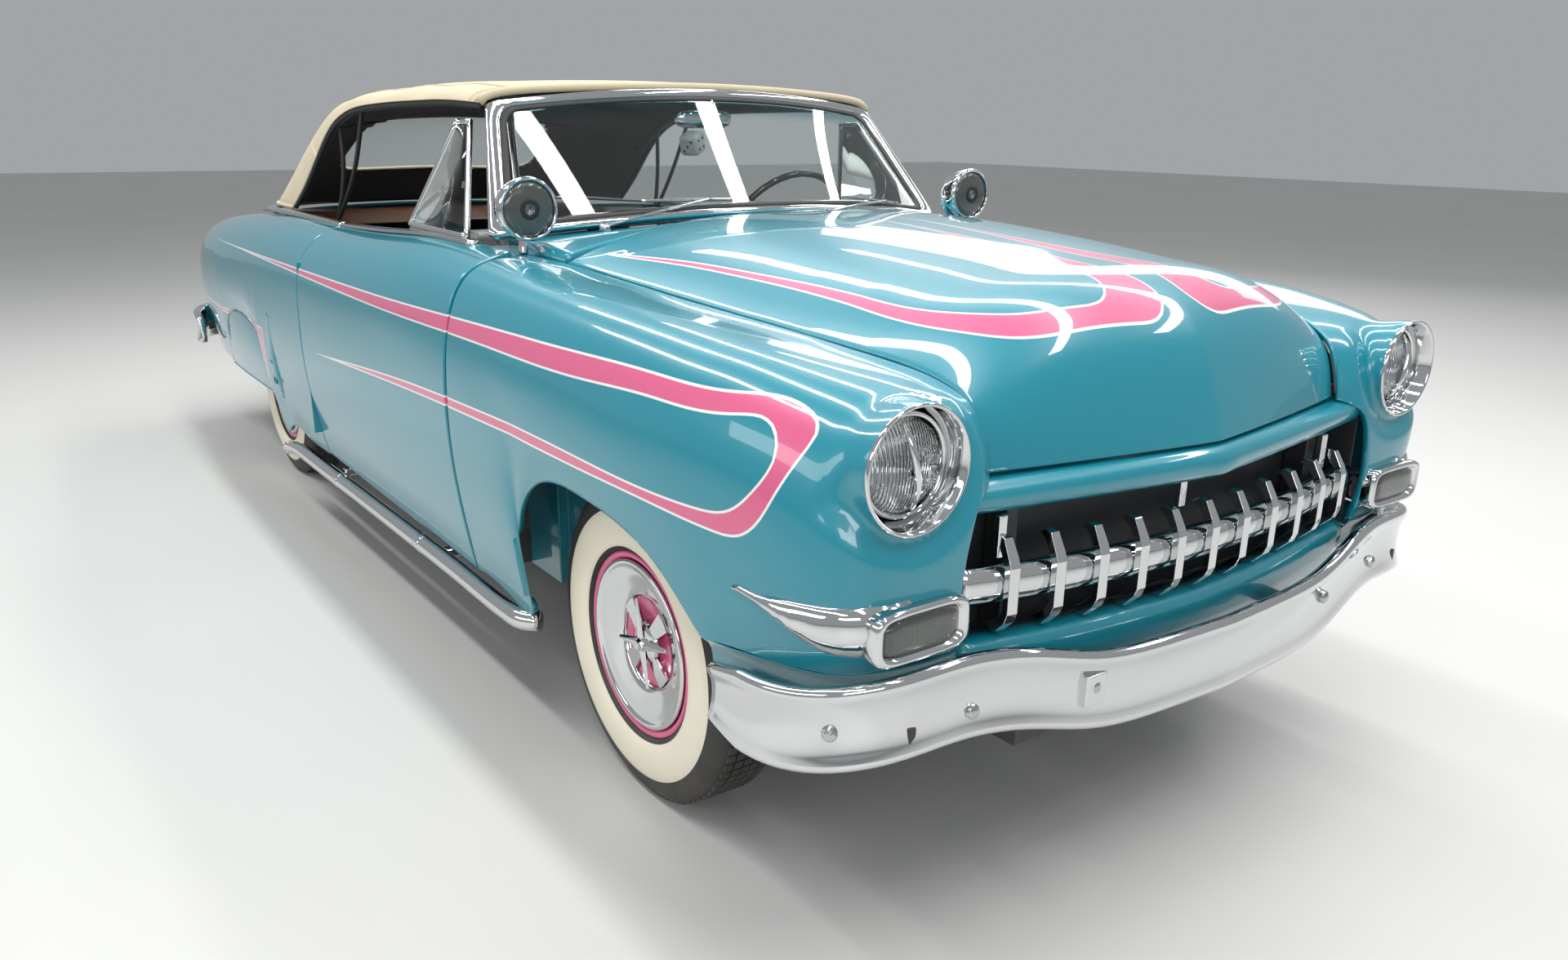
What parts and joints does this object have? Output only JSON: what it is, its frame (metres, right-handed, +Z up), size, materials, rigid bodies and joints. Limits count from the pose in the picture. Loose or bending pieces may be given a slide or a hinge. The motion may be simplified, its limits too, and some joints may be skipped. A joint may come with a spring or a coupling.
{
  "type": "convertible car",
  "caption": "Full-size 1950s convertible car with opening doors, hood and trunk lid, steered front wheels, a fixed cloth top, a toothed grille and side pipes.",
  "frame": {"origin": "on the ground under the middle of the car, between the faces of the two bumpers", "axes": "+X forwards, +Y to the left of the car, +Z up"},
  "size_m": [5.024, 1.888, 1.507],
  "materials": {
    "body_paint": "deep gloss turquoise",
    "chassis_black": "satin black",
    "engine_paint": "dull engine paint",
    "floor_paint": "satin dark grey",
    "chrome": "polished",
    "red_lens": "gloss red",
    "glass": "clear with a pale green tint",
    "canvas": "matt woven canvas",
    "top_irons": "satin black",
    "dark_trim": "satin black",
    "seat_cover": "soft satin grey",
    "tyre": "matt black with a cream side band",
    "wheel_paint": "gloss pink"
  },
  "bodies": {
    "body": {"chassis_frame": "chassis_black", "front_suspension": "chassis_black", "rear_axle": "chassis_black", "engine_and_radiator": "engine_paint", "floor_and_walls": "floor_paint", "cowl": "body_paint", "front_fender_left": "body_paint", "front_fender_right": "body_paint", "nose_panel": "body_paint", "grille": "chrome", "front_bumper": "chrome", "rear_bumper": "chrome", "headlights": "chrome", "parking_lamps": "chrome", "quarter_panel_left": "body_paint", "quarter_panel_right": "body_paint", "fender_skirts": "body_paint", "rear_deck": "body_paint", "tail_lamps": "red_lens", "windshield_frame": "chrome", "fixed_glass": "glass", "soft_top": "canvas", "top_frame": "top_irons", "dashboard": "dark_trim", "front_seat": "seat_cover", "rear_seat": "seat_cover", "spotlights": "chrome", "side_pipes": "chrome"},
    "steering_wheel": {"steering_wheel": "dark_trim"},
    "knuckle_left": {"knuckle_left": "chassis_black"},
    "knuckle_right": {"knuckle_right": "chassis_black"},
    "door_left": {"door_left": "body_paint", "vent_window_left": "chrome"},
    "door_right": {"door_right": "body_paint", "vent_window_right": "chrome"},
    "hood": {"hood": "body_paint"},
    "trunk_lid": {"trunk_lid": "body_paint"},
    "wheel_front_left": {"wheel_front_left": "wheel_paint", "tyre_front_left": "tyre"},
    "wheel_front_right": {"wheel_front_right": "wheel_paint", "tyre_front_right": "tyre"},
    "wheel_rear_left": {"wheel_rear_left": "wheel_paint", "tyre_rear_left": "tyre"},
    "wheel_rear_right": {"wheel_rear_right": "wheel_paint", "tyre_rear_right": "tyre"}
  },
  "joints": [
    {"name": "steering_wheel_turn", "type": "hinge", "parent": "body", "child": "steering_wheel", "pos_m": [0.53, 0.38, 1.06], "axis": [-0.866, 0, 0.5], "range_deg": [-750, 750]},
    {"name": "steer_left", "type": "hinge", "parent": "body", "child": "knuckle_left", "pos_m": [1.66, 0.6465, 0.345], "axis": [0, 0, 1], "range_deg": [-30, 30]},
    {"name": "steer_right", "type": "hinge", "parent": "body", "child": "knuckle_right", "pos_m": [1.66, -0.6465, 0.345], "axis": [0, 0, 1], "range_deg": [-30, 30]},
    {"name": "wheel_front_left_spin", "type": "hinge", "parent": "knuckle_left", "child": "wheel_front_left", "pos_m": [1.66, 0.7365, 0.345], "axis": [0, 1, 0], "continuous": true},
    {"name": "wheel_front_right_spin", "type": "hinge", "parent": "knuckle_right", "child": "wheel_front_right", "pos_m": [1.66, -0.7365, 0.345], "axis": [0, 1, 0], "continuous": true},
    {"name": "wheel_rear_left_spin", "type": "hinge", "parent": "body", "child": "wheel_rear_left", "pos_m": [-1.261, 0.711, 0.345], "axis": [0, 1, 0], "continuous": true},
    {"name": "wheel_rear_right_spin", "type": "hinge", "parent": "body", "child": "wheel_rear_right", "pos_m": [-1.261, -0.711, 0.345], "axis": [0, 1, 0], "continuous": true},
    {"name": "door_left_swing", "type": "hinge", "parent": "body", "child": "door_left", "pos_m": [0.995, 0.927, 0.75], "axis": [0, 0, -1], "range_deg": [0, 65]},
    {"name": "door_right_swing", "type": "hinge", "parent": "body", "child": "door_right", "pos_m": [0.995, -0.927, 0.75], "axis": [0, 0, 1], "range_deg": [0, 65]},
    {"name": "hood_lift", "type": "hinge", "parent": "body", "child": "hood", "pos_m": [1.14, 0, 1.158], "axis": [0, -1, 0], "range_deg": [0, 50]},
    {"name": "trunk_lid_lift", "type": "hinge", "parent": "body", "child": "trunk_lid", "pos_m": [-1.825, 0, 1.002], "axis": [0, 1, 0], "range_deg": [0, 55]}
  ],
  "couplings": [
    {"joint": "steer_left", "follows": "steering_wheel_turn", "ratio": 0.04},
    {"joint": "steer_right", "follows": "steering_wheel_turn", "ratio": 0.04}
  ]
}
